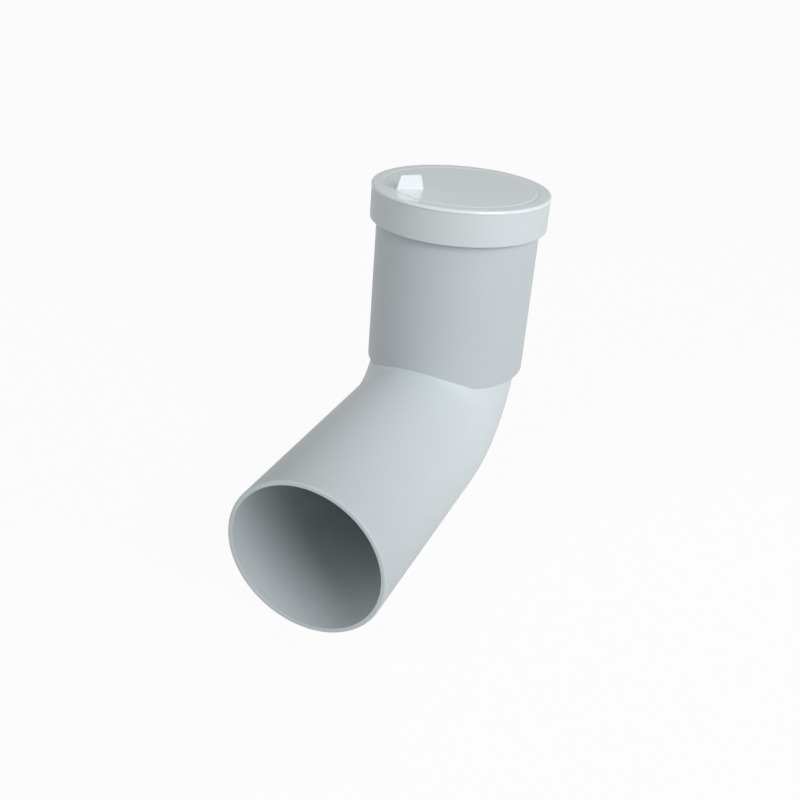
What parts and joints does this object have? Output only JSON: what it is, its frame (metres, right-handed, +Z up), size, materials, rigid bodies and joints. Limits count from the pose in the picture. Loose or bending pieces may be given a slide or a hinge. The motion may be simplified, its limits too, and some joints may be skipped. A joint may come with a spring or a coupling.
{
  "type": "toilet pan bend",
  "caption": "Drain pipe bend with a long plain spigot leg and a seal socket for a toilet pan's outlet, closed by a pull-off protective cap.",
  "frame": {"origin": "centre of the spigot's cut end, on the axis of the pipe", "axes": "-Y points out of the spigot's cut end, and +Z is up, within 2.5 degrees of the socket's axis; the bend lies in the YZ plane"},
  "size_m": [0.1294, 0.2943, 0.242],
  "materials": {
    "pipe_plastic": "smooth moulded PVC, satin, light cool grey",
    "collar_plastic": "smooth moulded PVC, satin, a shade lighter than the pipe",
    "cap_plastic": "smooth moulded polyethylene, glossy, pale grey",
    "seal_rubber": "matt moulded rubber, near black"
  },
  "bodies": {
    "bend": {"bend_body": "pipe_plastic", "collar_ring": "collar_plastic", "lip_seal": "seal_rubber"},
    "cap": {"protective_cap": "cap_plastic"}
  },
  "joints": [
    {"name": "cap_pull", "type": "slide", "parent": "bend", "child": "cap", "axis": [0, 0.0436, 0.999], "range_m": [0, 0.06]}
  ]
}
